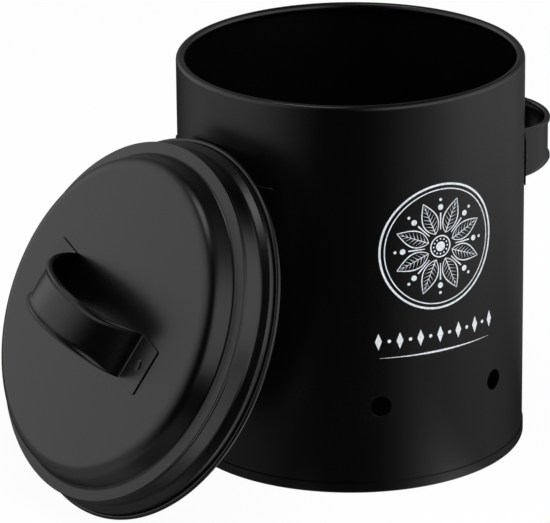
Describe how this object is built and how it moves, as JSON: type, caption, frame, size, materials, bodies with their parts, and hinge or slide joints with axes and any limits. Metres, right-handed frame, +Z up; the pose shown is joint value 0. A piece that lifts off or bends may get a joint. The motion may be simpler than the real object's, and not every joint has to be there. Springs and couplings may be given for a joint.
{
  "type": "onion storage jar",
  "caption": "Round sheet-steel storage jar with air holes low in its wall, a strap handle on each side and a loose lid with a strap handle, leaning beside it.",
  "frame": {"origin": "centre of the underside of the base panel, on the jar's axis", "axes": "+Z up along the jar's axis; -Y is the jar's front; its handles are on +X and -X, and the lid leans on the -X side"},
  "size_m": [0.3125, 0.2085, 0.208],
  "materials": {
    "charcoal_coat": "semi-matte charcoal powder coat"
  },
  "bodies": {
    "jar": {"body_wall": "charcoal_coat", "base_plate": "charcoal_coat", "right_handle": "charcoal_coat", "right_handle_rivets": "charcoal_coat", "left_handle": "charcoal_coat", "left_handle_rivets": "charcoal_coat"},
    "lid": {"lid_shell": "charcoal_coat", "lid_handle": "charcoal_coat", "lid_rivets": "charcoal_coat"}
  },
  "joints": [
    {"name": "lid_pull_off", "type": "slide", "parent": "jar", "child": "lid", "axis": [-0.8974, -0.0896, 0.4321], "range_m": [0, 0.25]}
  ]
}
